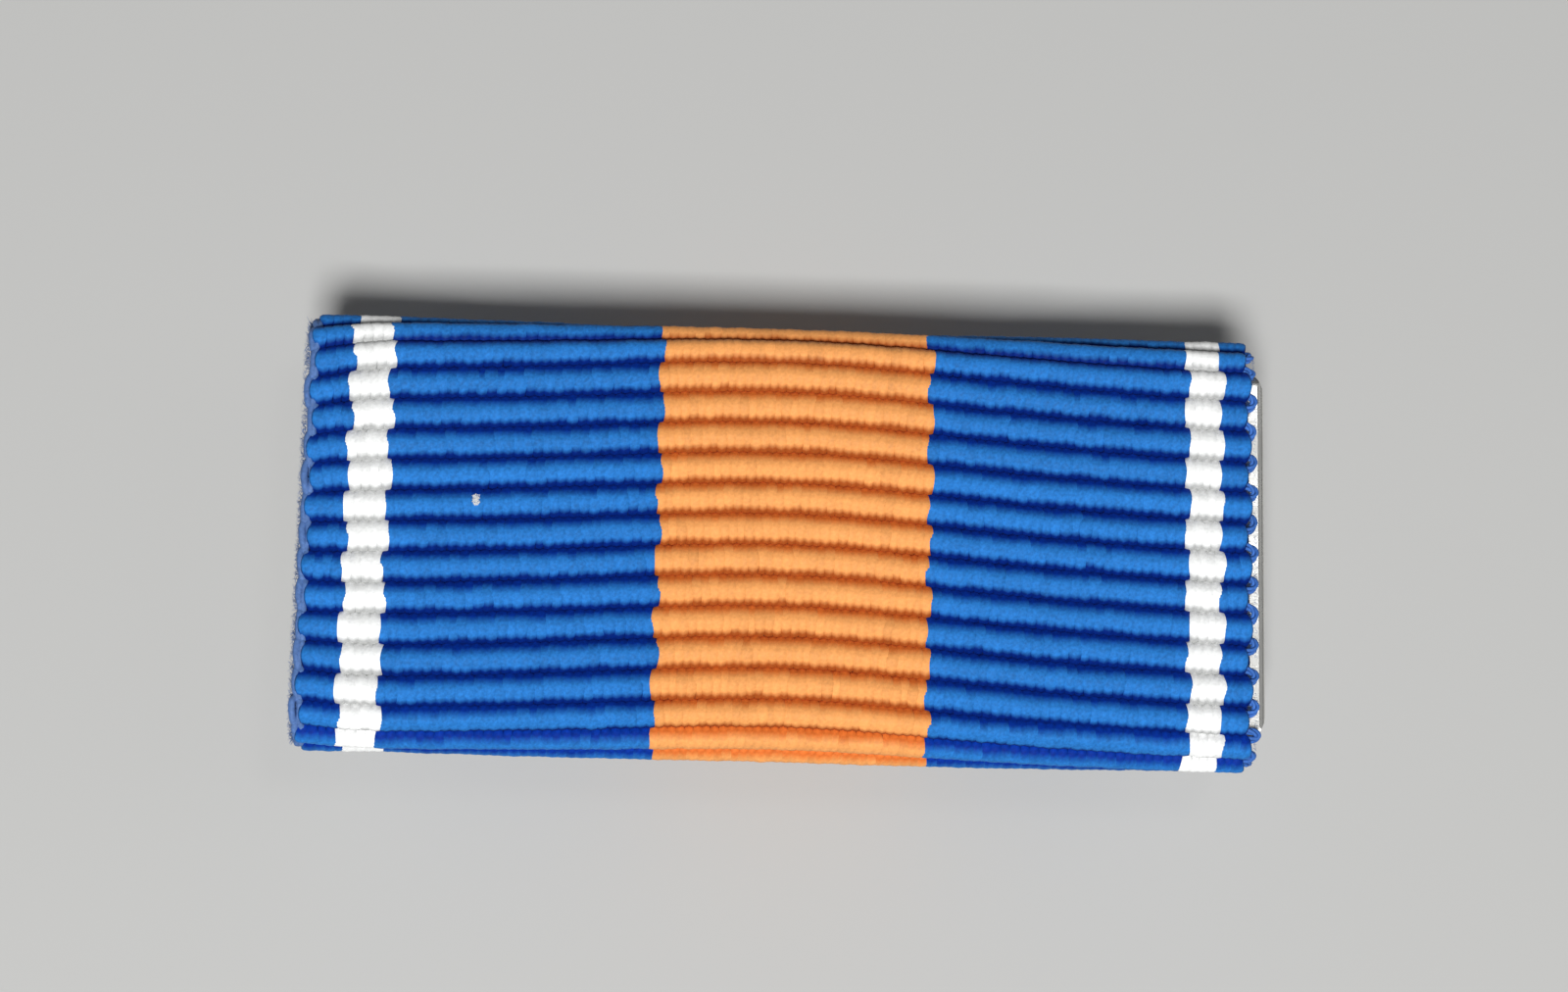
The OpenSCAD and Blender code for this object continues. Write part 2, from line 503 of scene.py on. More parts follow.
@dataclass(frozen=True)
class YarnFinish:
    """A dyed yarn of many fine filaments, with shade painted into its colour down in the grooves.

    The lit colour shows on the middle of a rib and gives way, over the ranges of place that the fields
    give, to two painted groove shades, one towards each groove.
    """

    name: str
    lit: Colour
    # The two groove colours that follow are painted shade, one for the rib's lower flank and one for its
    # upper flank, each set for how the main light falls there
    painted_shade_below: Colour
    above: Colour
    painted_shade_below_from: float = -0.83
    painted_shade_below_to: float = -0.53
    painted_shade_above_from: float = 0.66
    painted_shade_above_to: float = 0.22
    mid_half: float = 0.5
    # Painted light: the colour is made this many times brighter towards the upper groove, over the range
    # of place that follows
    painted_crevice_light: float = 1.45
    painted_crevice_light_from: float = 0.7
    painted_crevice_light_to: float = 0.95
    roughness: float = 0.62
    glossier: float = 0.06
    duller: float = 0.08
    specular: float = 0.18
    sheen: float = 0.02
    sheen_roughness: float = 0.45
    grain: float = 0.17
    darker_share: float = 0.75
    lighter_share: float = 0.65
    mottles_per_m: float = 11000.0
    tone_reach: float = 0.22
    filaments: float = 7.0
    streaks_per_mm: float = 2.6
    twist: float = 0.6
    relief_t: float = 0.012 * MM
    relief: float = 0.6

    def material(self) -> bpy.types.Material:
        """Builds the yarn's material.

        Returns:
            The material.
        """
        made = Nodes(self.name)
        filament = self.filament(made)
        shaded = made.add("ShaderNodeHueSaturation")
        made.put(shaded.inputs["Color"], self.colour(made))
        made.put(shaded.inputs["Value"], self.brightness(made, filament))
        low, high = self.roughness - self.glossier, self.roughness + self.duller
        shader = made.shader
        made.put(shader.inputs["Base Color"], shaded.outputs[0])
        made.put(shader.inputs["Roughness"], made.spread(filament, *NOISE_RANGE, low, high))
        shader.inputs["Sheen Weight"].default_value = self.sheen
        shader.inputs["Sheen Roughness"].default_value = self.sheen_roughness
        shader.inputs["Specular IOR Level"].default_value = self.specular
        made.put(shader.inputs["Normal"], made.bump(filament, self.relief_t, self.relief))
        return made.material

    def filament(self, made: Nodes) -> bpy.types.NodeSocket:
        """Adds the noise of the filaments, which wind round the yarn.

        Args:
            made: The material under construction.

        Returns:
            The noise's value.
        """
        parts = made.add("ShaderNodeSeparateXYZ")
        made.put(parts.inputs[0], made.add("ShaderNodeUVMap", uv_map=YARN_UV).outputs[0])
        around, along = parts.outputs[0], parts.outputs[1]
        thread = made.add("ShaderNodeCombineXYZ")
        made.put(thread.inputs[0], made.math("ADD", around, made.math("MULTIPLY", along, self.twist)))
        made.put(thread.inputs[1], along)
        stretched = made.scaled(thread.outputs[0], (self.filaments, self.streaks_per_mm, 1.0))
        return made.noise(stretched, scale=1.0, detail=3.0)

    def colour(self, made: Nodes) -> bpy.types.NodeSocket:
        """Adds the yarn's colour at each place on a rib, with painted groove shade towards each groove.

        Args:
            made: The material under construction.

        Returns:
            The colour.
        """
        place = made.attribute(PLACE)
        upper = made.spread(place, -self.mid_half, self.mid_half, 0.0, 1.0)
        over_lower = made.spread(place, self.painted_shade_below_from, self.painted_shade_below_to, 0.0, 1.0)
        under_upper = made.spread(place, self.painted_shade_above_from, self.painted_shade_above_to, 0.0, 1.0)
        top = made.math("MULTIPLY", over_lower, under_upper)
        return made.blend(top, made.blend(upper, self.painted_shade_below, self.above), self.lit)

    def brightness(self, made: Nodes, filament: bpy.types.NodeSocket) -> bpy.types.NodeSocket:
        """Adds the factor for the colour's brightness: streaks, mottling, each yarn's own tone and
        painted light that brightens the upper groove.

        Args:
            made: The material under construction.
            filament: The noise of the filaments.

        Returns:
            The factor.
        """
        body = made.add("ShaderNodeTexCoord").outputs["Object"]
        mottle = made.noise(body, scale=self.mottles_per_m, detail=2.0)
        low, high = 1 - self.darker_share * self.grain, 1 + self.lighter_share * self.grain
        streaks = made.spread(filament, *NOISE_RANGE, low, high)
        specks = made.spread(mottle, *NOISE_RANGE, -self.grain, self.grain)
        toned = made.math("MULTIPLY", made.attribute(TONE), self.tone_reach)
        light = made.math("ADD", toned, made.math("ADD", streaks, specks))
        place = made.attribute(PLACE)
        # Painted light: brighter towards the upper groove
        painted_crevice_light = made.spread(place, self.painted_crevice_light_from, self.painted_crevice_light_to, 1.0, self.painted_crevice_light)
        return made.math("MULTIPLY", light, painted_crevice_light)


@dataclass(frozen=True)
class PlateFinish:
    """A plated metal, satin from fine brushing along the bar and a little clouded."""

    name: str
    colour: Colour
    roughness: float
    brushing: float
    brush_scale: Triple = (900.0, 42000.0, 42000.0)
    brush_t: float = 0.004 * MM
    brush_glossier: float = 0.05
    brush_duller: float = 0.06
    clouds_per_m: float = 700.0
    cloud_from: float = 0.35
    cloud_to: float = 0.75
    cloud_share: float = 0.5
    cloud_darker: float = 0.72
    cloud_glossier: float = 0.04
    cloud_duller: float = 0.1

    def material(self) -> bpy.types.Material:
        """Builds the plated metal's material.

        Returns:
            The material.
        """
        made = Nodes(self.name)
        body = made.add("ShaderNodeTexCoord").outputs["Object"]
        brushed = made.noise(made.scaled(body, self.brush_scale), scale=1.0, detail=2.0)
        cloudy = made.noise(body, scale=self.clouds_per_m, detail=4.0)
        clouds = made.spread(cloudy, self.cloud_from, self.cloud_to, 0.0, self.cloud_share)
        dulled = tuple(self.cloud_darker * c for c in self.colour)
        lines = made.spread(brushed, *NOISE_RANGE, -self.brush_glossier, self.brush_duller)
        low, high = self.roughness - self.cloud_glossier, self.roughness + self.cloud_duller
        patches = made.spread(cloudy, *NOISE_RANGE, low, high)
        shader = made.shader
        made.put(shader.inputs["Base Color"], made.blend(clouds, self.colour, dulled))
        made.put(shader.inputs["Roughness"], made.math("ADD", lines, patches))
        shader.inputs["Metallic"].default_value = 1.0
        made.put(shader.inputs["Normal"], made.bump(brushed, self.brush_t, self.brushing))
        return made.material


@dataclass(frozen=True)
class FloorFinish:
    """A pale plain matt floor."""

    name: str = "pale_floor"
    colour: Colour = (0.5, 0.5, 0.49)
    roughness: float = 0.9
    specular: float = 0.1

    def material(self) -> bpy.types.Material:
        """Builds the floor's material.

        Returns:
            The material.
        """
        made = Nodes(self.name)
        made.shader.inputs["Base Color"].default_value = (*self.colour, 1.0)
        made.shader.inputs["Roughness"].default_value = self.roughness
        made.shader.inputs["Specular IOR Level"].default_value = self.specular
        return made.material


# The below and above colours of each yarn are painted groove shade
FINISHES: dict[Dye, YarnFinish] = {
    Dye.BLUE: YarnFinish(
        "yarn_blue",
        lit=(0.0205, 0.171, 0.525),
        painted_shade_below=(0.0006, 0.016, 0.17),
        above=(0.0012, 0.028, 0.272),
        specular=0.07,
        sheen=0.01,
        painted_shade_below_from=-0.81,
        painted_shade_below_to=-0.51,
        painted_shade_above_from=0.6,
        painted_shade_above_to=0.1,
    ),
    Dye.WHITE: YarnFinish(
        "yarn_white",
        lit=(0.96, 0.97, 0.96),
        painted_shade_below=(0.44, 0.445, 0.44),
        above=(0.78, 0.785, 0.78),
        painted_shade_above_from=0.72,
        painted_shade_above_to=0.28,
        grain=0.08,
    ),
    Dye.ORANGE: YarnFinish(
        "yarn_orange",
        lit=(0.84, 0.35, 0.104),
        painted_shade_below=(0.36, 0.08, 0.012),
        above=(0.65, 0.15, 0.024),
        grain=0.09,
    ),
    Dye.WEFT: YarnFinish(
        "yarn_weft",
        lit=(0.045, 0.15, 0.49),
        painted_shade_below=(0.003, 0.03, 0.28),
        above=(0.003, 0.03, 0.28),
        filaments=4.0,
        twist=1.5,
    ),
    Dye.CATCH: YarnFinish(
        "yarn_catch",
        lit=(0.085, 0.17, 0.4),
        painted_shade_below=(0.03, 0.08, 0.3),
        above=(0.03, 0.08, 0.3),
        filaments=4.0,
        twist=2.0,
    ),
}
PLATES: dict[Plate, PlateFinish] = {
    Plate.BAR: PlateFinish("bar_plate", colour=(0.82, 0.82, 0.79), roughness=0.26, brushing=0.08),
    Plate.PIN: PlateFinish("pin_plate", colour=(0.72, 0.72, 0.69), roughness=0.25, brushing=0.3),
}


@dataclass
class Dyer:
    """Keeps one material for each dye and gives it to pieces."""

    made: dict[Dye, bpy.types.Material] = field(default_factory=dict)

    def dye(self, piece: bpy.types.Object, dye: Dye) -> bpy.types.Object:
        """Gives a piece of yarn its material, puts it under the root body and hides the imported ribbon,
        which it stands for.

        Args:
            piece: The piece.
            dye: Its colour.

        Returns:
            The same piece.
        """
        if dye not in self.made:
            self.made[dye] = FINISHES[dye].material()
        piece.data.materials.append(self.made[dye])
        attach(piece, ROOT)
        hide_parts("ribbon")
        return piece


@dataclass(frozen=True)
class Stripe:
    """One stripe of warp yarns: its name, dye, share of the ribbon's width and number of yarns."""

    name: str
    dye: Dye
    share: float
    ends: int


STRIPES = (
    Stripe("warp_blue_edge_left", Dye.BLUE, 0.049, 8),
    Stripe("warp_white_left", Dye.WHITE, 0.042, 8),
    Stripe("warp_blue_left", Dye.BLUE, 0.281, 56),
    Stripe("warp_orange", Dye.ORANGE, 0.283, 64),
    Stripe("warp_blue_right", Dye.BLUE, 0.271, 54),
    Stripe("warp_white_right", Dye.WHITE, 0.036, 8),
    Stripe("warp_blue_edge_right", Dye.BLUE, 0.038, 6),
)


@dataclass
class Warp:
    """The lengthwise yarns, each over one rib and under the next, in stripes.

    Shares of width are of the distance from one yarn to the next. The spreads make the yarns uneven.
    """

    path: RibbonPath
    dyer: Dyer
    stripes: tuple[Stripe, ...] = STRIPES
    sides: int = 8
    steps_over: int = 11
    steps_under: int = 4
    crest_power: float = 1.5
    section_power: float = 2.2
    # Painted shade: how far the groove shade's edge reaches down each yarn's sides, and how much that
    # edge varies from float to float
    painted_shade_tooth: float = 0.28
    painted_shade_tooth_spread: float = 0.05
    groove_share: float = 0.76
    crest_share: float = 1.9
    lower_to: float = -0.1
    cut_angle: float = math.radians(62)
    first_over: int = 1
    shift_spread: float = 0.007 * MM
    groove_spread: float = 0.012 * MM
    height_spread: float = 0.006 * MM
    width_spread: float = 0.03
    end_tone: float = 0.08
    float_tone: float = 0.14
    seed: int = 41

    def build(self) -> list[bpy.types.Object]:
        """Makes one piece for each stripe.

        Returns:
            The pieces, from left to right.
        """
        rng = np.random.default_rng(self.seed)
        edge = -self.path.width / 2
        made = []
        before = 0
        for stripe in self.stripes:
            left = edge
            edge += stripe.share * self.path.width
            start = left + (self.path.weave.left_margin if stripe is self.stripes[0] else 0.0)
            stop = edge - (self.path.weave.right_margin if stripe is self.stripes[-1] else 0.0)
            made.append(self.stripe_piece(stripe, start, stop, before, rng))
            before += stripe.ends
        return made

    def stripe_piece(
        self, stripe: Stripe, start: float, stop: float, before: int, rng: np.random.Generator
    ) -> bpy.types.Object:
        """Makes the yarns of one stripe.

        Args:
            stripe: The stripe.
            start: Its left edge, from the ribbon's middle.
            stop: Its right edge.
            before: How many yarns lie left of it.
            rng: The source of its small unevenness.

        Returns:
            The dyed piece.
        """
        gap = (stop - start) / stripe.ends
        number = before + np.arange(stripe.ends)
        x = start + gap * (np.arange(stripe.ends) + 0.5)
        tubes = Tubes(self.sides, self.section_power, self.painted_shade_tooth)
        for parity in (0, 1):
            chosen = (number + self.first_over) % 2 == parity
            self.add_yarns(tubes, x[chosen], gap, parity, rng)
        return self.dyer.dye(tubes.piece(stripe.name), stripe.dye)

    def add_yarns(
        self, tubes: Tubes, x: np.ndarray, gap: float, parity: int, rng: np.random.Generator
    ) -> None:
        """Adds the yarns that go over the same ribs.

        Args:
            tubes: Where they are added.
            x: Where each yarn lies, from the ribbon's middle.
            gap: The distance from one yarn of the stripe to the next.
            parity: Whether they go over the even or the odd ribs.
            rng: The source of their small unevenness.
        """
        path, weave = self.path, self.path.weave
        ribs = path.ribs
        crossings = (len(x), ribs)
        rib, angle = self.rings(parity)
        over = np.where(rib % 2 == parity, 1.0, -1.0)
        lift = np.abs(np.cos(angle))
        groove = path.along(np.arange(ribs + 1)[None], x[:, None])
        groove = groove + rng.normal(0, self.groove_spread, groove.shape)
        crest = (weave.rib_t - weave.crest_t) / 2 + rng.normal(0, self.height_spread, crossings)
        shift = rng.normal(0, self.shift_spread, crossings)
        swell = 1 + rng.normal(0, self.width_spread, crossings)
        yarn_tone = self.end_tone * rng.normal(0, 1, (len(x), 1))
        tone = yarn_tone + self.float_tone * rng.normal(0, 1, crossings)
        uneven = rng.normal(0, self.painted_shade_tooth_spread, crossings)

        middle = (groove[:, rib] + groove[:, rib + 1]) / 2
        half = (groove[:, rib + 1] - groove[:, rib]) / 2
        across = signed_power(np.sin(angle), 2 / self.crest_power)
        # A yarn under a rib shows only in its grooves, where it belongs to the ribs below and above and
        # takes their painted groove shade
        hidden = np.where(angle < self.lower_to, 1.0, -1.0)
        place = np.where(over > 0, across, hidden) + uneven[:, rib] * lift
        s = middle + half * across
        out = over * crest[:, rib] * lift ** (2 / self.crest_power)
        points = path.place(x[:, None] + shift[:, rib] * lift, s, out)
        tangent = along_path(points * np.array([0.0, 1.0, 1.0]))
        lateral = np.broadcast_to(np.array([1.0, 0.0, 0.0]), points.shape)
        wider = (self.crest_share - self.groove_share) * lift
        half_w = gap * (self.groove_share + wider) * swell[:, rib]
        half_t = (weave.groove_yarn_t + (weave.crest_t - weave.groove_yarn_t) * lift) / 2
        tubes.sweep(
            points,
            lateral,
            np.cross(lateral, tangent),
            half_w,
            half_t,
            place=place,
            tone=tone[:, rib] * lift,
        )

    def rings(self, parity: int) -> tuple[np.ndarray, np.ndarray]:
        """Where the rings of a yarn lie.

        Args:
            parity: Whether it goes over the even or the odd ribs.

        Returns:
            Each ring's rib, and its angle on that rib from -90 degrees at one groove to 90 at the next.
        """
        ribs, angles = [], []
        for rib in range(self.path.ribs):
            steps = self.steps_over if rib % 2 == parity else self.steps_under
            low = -self.cut_angle if rib == 0 else -math.pi / 2
            high = self.cut_angle if rib == self.path.ribs - 1 else math.pi / 2
            angles.append(np.linspace(low, high, steps + 1)[:-1])
            ribs.append(np.full(steps, rib))
        angles.append(np.array([self.cut_angle]))
        ribs.append(np.array([self.path.ribs - 1]))
        return np.concatenate(ribs), np.concatenate(angles)


@dataclass
class WeftCords:
    """The thick crosswise yarns inside the ribs."""

    path: RibbonPath
    dyer: Dyer
    steps: int = 36
    sides: int = 10
    end_gap: float = 0.3 * MM
    end_share: float = 0.45
    taper_l: float = 0.5 * MM

    def build(self) -> bpy.types.Object:
        """Makes the cords as one piece, thinner towards the selvedges.

        Returns:
            The piece.
        """
        path, weave = self.path, self.path.weave
        reach = path.width / 2 - self.end_gap
        x = np.linspace(-reach, reach, self.steps + 1)[None]
        rib = np.arange(path.ribs)[:, None]
        s = path.along(rib + 0.5, x)
        points = path.place(x, s, 0.0)
        normal = path.outward(s)
        lateral = np.cross(along_path(points), normal)
        taper = np.minimum(1.0, self.end_share + (reach - np.abs(x)) / self.taper_l)
        half_w = taper * weave.cord_w / 2
        half_t = taper * weave.cord_t / 2
        tubes = Tubes(self.sides)
        # The cords take the weft's painted groove shade all over
        tubes.sweep(points, -lateral, normal, half_w, half_t, place=PAINTED_SHADE_PLACE)
        return self.dyer.dye(tubes.piece("weft_cords"), Dye.WEFT)


@dataclass(frozen=True)
class Plied:
    """A yarn of a few strands twisted together."""

    strands: int
    strand_r: float
    turns: float
    sides: int = 6

    def add(self, tubes: Tubes, points: np.ndarray, start: Triple, tone: Numbers = 0.0) -> None:
        """Adds the yarn's strands along each path.

        Args:
            tubes: Where they are added.
            points: The yarns' middle lines, as yarns by points by coordinates.
            start: A direction that isn't along the first stretch of any path.
            tone: How much lighter each ring is than its dye.
        """
        lateral, normal = carried_frames(points, start)
        radius = self.strand_r / math.sin(math.pi / self.strands)
        share = np.linspace(0, 1, points.shape[1])
        for strand in range(self.strands):
            angle = 2 * math.pi * (strand / self.strands + self.turns * share)
            aside = np.cos(angle)[None, :, None] * lateral + np.sin(angle)[None, :, None] * normal
            line = points + radius * aside
            across, upward = carried_frames(line, start)
            tubes.sweep(line, across, upward, self.strand_r, self.strand_r, tone=tone)


@dataclass
class SelvedgeLoops:
    """The weft where it turns round the right selvedge, from each rib to the next.

    One stretch of the selvedge, round flare_place, stands out further than the rest.
    """

    path: RibbonPath
    dyer: Dyer
    yarn: Plied = Plied(strands=3, strand_r=0.055 * MM, turns=0.8)
    yarn_share: float = 2.15
    reach: float = 0.07 * MM
    reach_spread: float = 0.035 * MM
    root: float = 0.5 * MM
    bluntness: float = 0.8
    half_rise: float = 0.27
    rise_spread: float = 0.04
    lift_spread: float = 0.02 * MM
    tone_spread: float = 0.4
    flare: float = 0.06 * MM
    flare_place: float = -5.2 * MM
    flare_round: float = 1.1 * MM
    steps: int = 22
    seed: int = 7

    def build(self) -> bpy.types.Object:
        """Makes the loops as one piece.

        Returns:
            The piece.
        """
        rng = np.random.default_rng(self.seed)
        path = self.path
        groove = np.arange(1, path.ribs)[:, None]
        angle = np.linspace(-math.pi / 2, math.pi / 2, self.steps + 1)[None]
        outer_r = self.yarn.strand_r * self.yarn_share
        edge = path.width / 2
        from_flare = (path.along(groove, edge) - self.flare_place) / self.flare_round
        flared = self.flare * np.exp(-(from_flare**2))
        tip = edge - outer_r + self.reach + flared
        tip = tip - np.abs(rng.normal(0, self.reach_spread, groove.shape))
        base = edge - self.root
        x = base + (tip - base) * np.cos(angle) ** self.bluntness
        half_rise = self.half_rise + rng.normal(0, self.rise_spread, groove.shape)
        s = path.along(groove + half_rise * np.sin(angle), x)
        out = rng.normal(0, self.lift_spread, groove.shape) * np.cos(angle)
        points = path.place(x, s, out)
        tubes = Tubes(self.yarn.sides)
        self.yarn.add(tubes, points, (0.0, 0.0, 1.0), rng.normal(0, self.tone_spread, groove.shape))
        return self.dyer.dye(tubes.piece("selvedge_loops"), Dye.WEFT)


@dataclass
class CatchThread:
    """The fine thread knitted through the weft's ends along the left selvedge, a stitch for each rib."""

    path: RibbonPath
    dyer: Dyer
    thread_r: float = 0.105 * MM
    inset: float = 0.225 * MM
    leg_gap: float = 0.055 * MM
    narrowest: float = 0.75
    wider: float = 0.4
    wider_most: float = 1.0
    sway_spread: float = 0.03 * MM
    knot_spread: float = 0.018 * MM
    knot_share_spread: float = 0.03
    set_back: float = 0.05
    steps: int = 4
    sides: int = 7
    seed: int = 19
    # One stitch's knots: share of its length, share of leg_gap across, and height in millimetres
    STITCH: ClassVar[tuple[Triple, ...]] = (
        (0.00, -0.2, 0.03),
        (0.16, -0.6, 0.11),
        (0.50, -1.1, 0.13),
        (0.92, -1.1, 0.10),
        (1.14, 0.0, 0.02),
        (0.92, 1.1, 0.10),
        (0.50, 1.1, 0.13),
        (0.16, 0.6, 0.11),
        (0.00, 0.2, 0.03),
        (0.12, 0.0, -0.06),
        (0.55, 0.0, -0.1),
        (0.90, 0.0, -0.06),
    )

    def build(self) -> bpy.types.Object:
        """Makes the knitted thread as one piece.

        Returns:
            The piece.
        """
        rng = np.random.default_rng(self.seed)
        path = self.path
        stitches = path.ribs
        stitch = np.array(self.STITCH)
        width = self.narrowest + np.minimum(rng.exponential(self.wider, stitches), self.wider_most)
        sway = rng.normal(0, self.sway_spread, stitches)
        knots = []
        for n in range(stitches):
            aside, along = rng.normal(0, 1, (2, len(stitch)))
            x = -path.width / 2 + self.inset + sway[n] + self.leg_gap * width[n] * stitch[:, 1]
            x = x + self.knot_spread * aside
            k = n + stitch[:, 0] - self.set_back + self.knot_share_spread * along
            knots.append(np.stack([x, k, stitch[:, 2] * MM], axis=-1))
        flat = self.smooth(np.concatenate(knots))
        k = np.clip(flat[:, 1], 0.0, stitches)
        points = path.place(flat[:, 0], path.along(k, flat[:, 0]), flat[:, 2])[None]
        lateral, normal = carried_frames(points, (0.0, 0.0, 1.0))
        tubes = Tubes(self.sides)
        tubes.sweep(points, lateral, normal, self.thread_r, self.thread_r)
        return self.dyer.dye(tubes.piece("catch_thread"), Dye.CATCH)

    def smooth(self, knots: np.ndarray) -> np.ndarray:
        """Runs a smooth curve through points.

        Args:
            knots: The points.

        Returns:
            The curve's points, a few for each stretch.
        """
        ends = np.concatenate([knots[:1], knots, knots[-1:]])
        a, b, c, d = ends[:-3], ends[1:-2], ends[2:-1], ends[3:]
        t = (np.arange(self.steps) / self.steps)[None, :, None]
        a, b, c, d = (p[:, None] for p in (a, b, c, d))
        square = (2 * a - 5 * b + 4 * c - d) * t**2
        cube = (3 * b - a - 3 * c + d) * t**3
        curve = 0.5 * (2 * b + (c - a) * t + square + cube)
        return np.concatenate([curve.reshape(-1, 3), knots[-1:]])


@dataclass
class WeftEnds:
    """The weft's hairpins at the left selvedge, one at each rib, round the catch thread."""

    path: RibbonPath
    dyer: Dyer
    yarn: Plied = Plied(strands=2, strand_r=0.05 * MM, turns=1.2)
    half_gap: float = 0.1 * MM
    tip: float = 0.2 * MM
    root: float = 0.6 * MM
    pointedness: float = 1.8
    steps: int = 16

    def build(self) -> bpy.types.Object:
        """Makes the hairpins as one piece.

        Returns:
            The piece.
        """
        path = self.path
        rib = np.arange(path.ribs)[:, None]
        share = np.linspace(-1, 1, self.steps + 1)[None]
        x = -path.width / 2 + self.tip + (self.root - self.tip) * np.abs(share) ** self.pointedness
        out = self.half_gap * np.sin(share * math.pi / 2)
        points = path.place(x, path.along(rib + 0.5, x), out)
        tubes = Tubes(self.yarn.sides)
        self.yarn.add(tubes, points, (0.0, 0.3, 1.0))
        return self.dyer.dye(tubes.piece("weft_ends"), Dye.WEFT)


@dataclass
class StrayFibres:
    """Fine fibres that stand off the two selvedges."""

    path: RibbonPath
    dyer: Dyer
    count: int = 1800
    left_share: float = 0.85
    fibre_r: float = 0.0075 * MM
    shortest: float = 0.06 * MM
    longest: float = 0.16 * MM
    right_l_share: float = 0.6
    tip_share: float = 0.5
    inset: float = 0.08 * MM
    lean: float = 0.5
    curl: float = 0.7
    steps: int = 6
    sides: int = 3
    seed: int = 5

    def build(self) -> bpy.types.Object:
        """Makes the fibres as one piece.

        Returns:
            The piece.
        """
        rng = np.random.default_rng(self.seed)
        path = self.path
        each = (self.count, 1)
        side = np.where(rng.uniform(size=each) < self.left_share, -1.0, 1.0)
        length = rng.uniform(self.shortest, self.longest, each)
        length = length * np.where(side < 0, 1.0, self.right_l_share)
        k = rng.uniform(0, path.ribs, each)
        x = side * (path.width / 2 - self.inset)
        share = np.linspace(0, 1, self.steps + 1)[None]
        along, out = rng.normal(0, self.lean, (2, *each))
        bent_along, bent_out = rng.normal(0, self.curl, (2, *each))
        line_x = x + side * length * share
        line_s = path.along(k, x) + length * (along * share + bent_along * share**2)
        line_out = length * (out * share + bent_out * share**2)
        points = path.place(line_x, line_s, line_out)
        lateral, normal = carried_frames(points, (0.0, 0.3, 1.0))
        tubes = Tubes(self.sides)
        thin = self.fibre_r * (1 - self.tip_share * share)
        tubes.sweep(points, lateral, normal, thin, thin)
        return self.dyer.dye(tubes.piece("stray_fibres"), Dye.CATCH)


@dataclass
class Lint:
    """A speck of white fluff, caught on a rib of the left blue stripe."""

    path: RibbonPath
    dyer: Dyer
    x: float = -8.57 * MM
    place: float = 13.67
    half_w: float = 0.06 * MM
    half_l: float = 0.18 * MM
    fibres: int = 50
    fibre_r: float = 0.011 * MM
    length: float = 0.16 * MM
    course_spread: float = 0.6
    bend: float = 3.0
    lift: float = 0.012 * MM
    rib_power: float = 1.5
    # The speck takes part of the white yarn's painted groove shade, which makes it darker
    shade_place: float = -0.67
    steps: int = 8
    sides: int = 5
    seed: int = 3

    def build(self) -> bpy.types.Object:
        """Makes the speck as one piece.

        Returns:
            The piece.
        """
        rng = np.random.default_rng(self.seed)
        path, weave = self.path, self.path.weave
        each = (self.fibres, 1)
        share = np.linspace(-0.5, 0.5, self.steps + 1)[None]
        course = rng.normal(math.pi / 2, self.course_spread, each)
        course = course + self.bend * rng.normal(0, 1, each) * share
        x = self.x + self.half_w * rng.uniform(-1, 1, each) + self.length * share * np.cos(course)
        run = self.half_l * rng.uniform(-1, 1, each) + self.length * share * np.sin(course)
        k = self.place + run / weave.rib_pitch
        across = np.abs(2 * (k - math.floor(self.place)) - 1)
        hollow = np.clip(across, 0, 1) ** self.rib_power
        surface = weave.rib_t / 2 * (1 - hollow) ** (1 / self.rib_power)
        out = surface + self.lift * (1 + 2 * rng.uniform(0, 1, each) * (1 - 2 * np.abs(share)))
        points = path.place(x, path.along(k, x), out)
        lateral, normal = carried_frames(points, (0.3, 0.1, 1.0))
        tubes = Tubes(self.sides)
        tubes.sweep(points, lateral, normal, self.fibre_r, self.fibre_r, place=self.shade_place)
        return self.dyer.dye(tubes.piece("lint_speck"), Dye.WHITE)


@dataclass
class Ribbon:
    """The whole ribbon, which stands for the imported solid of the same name."""

    weave: Weave = Weave()
    dyer: Dyer = field(default_factory=Dyer)

    def build(self) -> list[bpy.types.Object]:
        """Returns:
            The pieces, with the cords first.
        """
        path = RibbonPath.from_frame(self.weave)
        cords = WeftCords(path, self.dyer).build()
        others = Warp(path, self.dyer).build()
        others += [
            SelvedgeLoops(path, self.dyer).build(),
            WeftEnds(path, self.dyer).build(),
            CatchThread(path, self.dyer).build(),
            StrayFibres(path, self.dyer).build(),
            Lint(path, self.dyer).build(),
        ]
        return [cords, *others]


@dataclass
class MetalPart:
    """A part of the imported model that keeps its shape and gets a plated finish."""

    node: str
    plate: Plate

    def dress(self) -> bpy.types.Object:
        """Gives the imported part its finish.

        Returns:
            The part.
        """
        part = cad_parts[self.node]
        part.data.materials.clear()
        part.data.materials.append(PLATES[self.plate].material())
        return part


@dataclass(frozen=True)
class Lamp:
    """A soft light that faces the bar, with its angles in degrees and its power in watts."""

    name: str
    azimuth: float
    elevation: float
    width: float
    height: float
    power: float
    distance: float = 300 * MM


